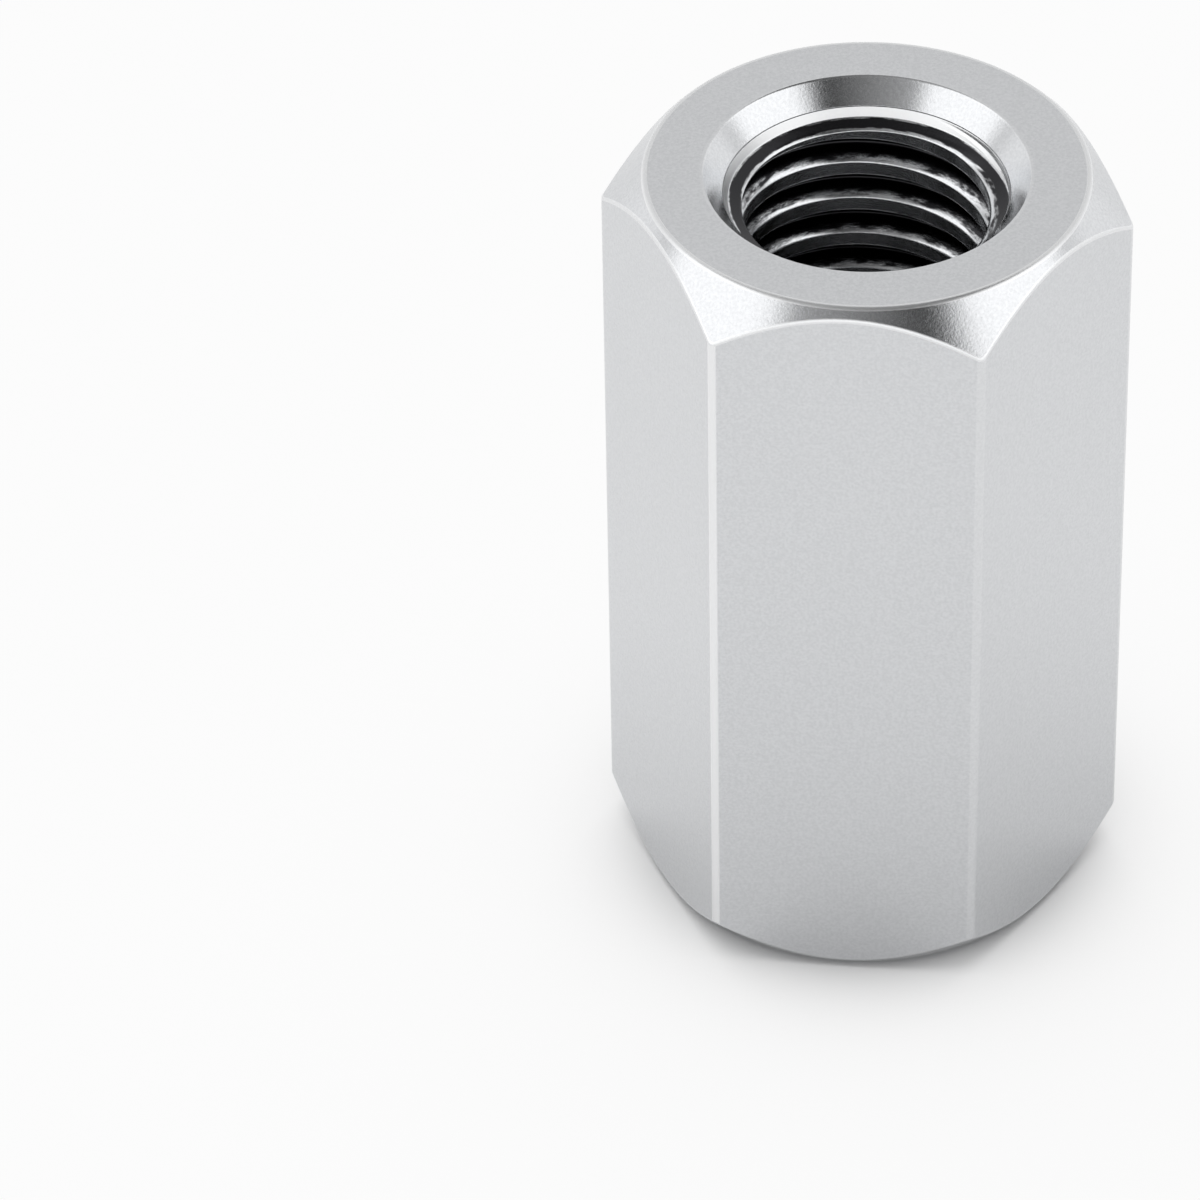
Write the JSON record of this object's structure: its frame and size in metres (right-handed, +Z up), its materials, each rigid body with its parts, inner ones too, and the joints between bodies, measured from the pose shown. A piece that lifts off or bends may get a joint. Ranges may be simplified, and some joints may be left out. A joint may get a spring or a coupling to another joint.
{
  "type": "coupling nut",
  "caption": "Long hexagonal coupling nut with a through internal thread, chamfered ends and a countersunk mouth at each end.",
  "frame": {"origin": "centre of the lower end face, where the nut stands on its end", "axes": "+Z up along the thread axis, +X through two opposite corners of the hexagon, +Y across two opposite flats"},
  "size_m": [0.015, 0.013, 0.024],
  "materials": {
    "nut_steel": "bright zinc plate over turned and drawn steel, satin"
  },
  "bodies": {
    "root": {"coupling_nut": "nut_steel"}
  },
  "joints": []
}
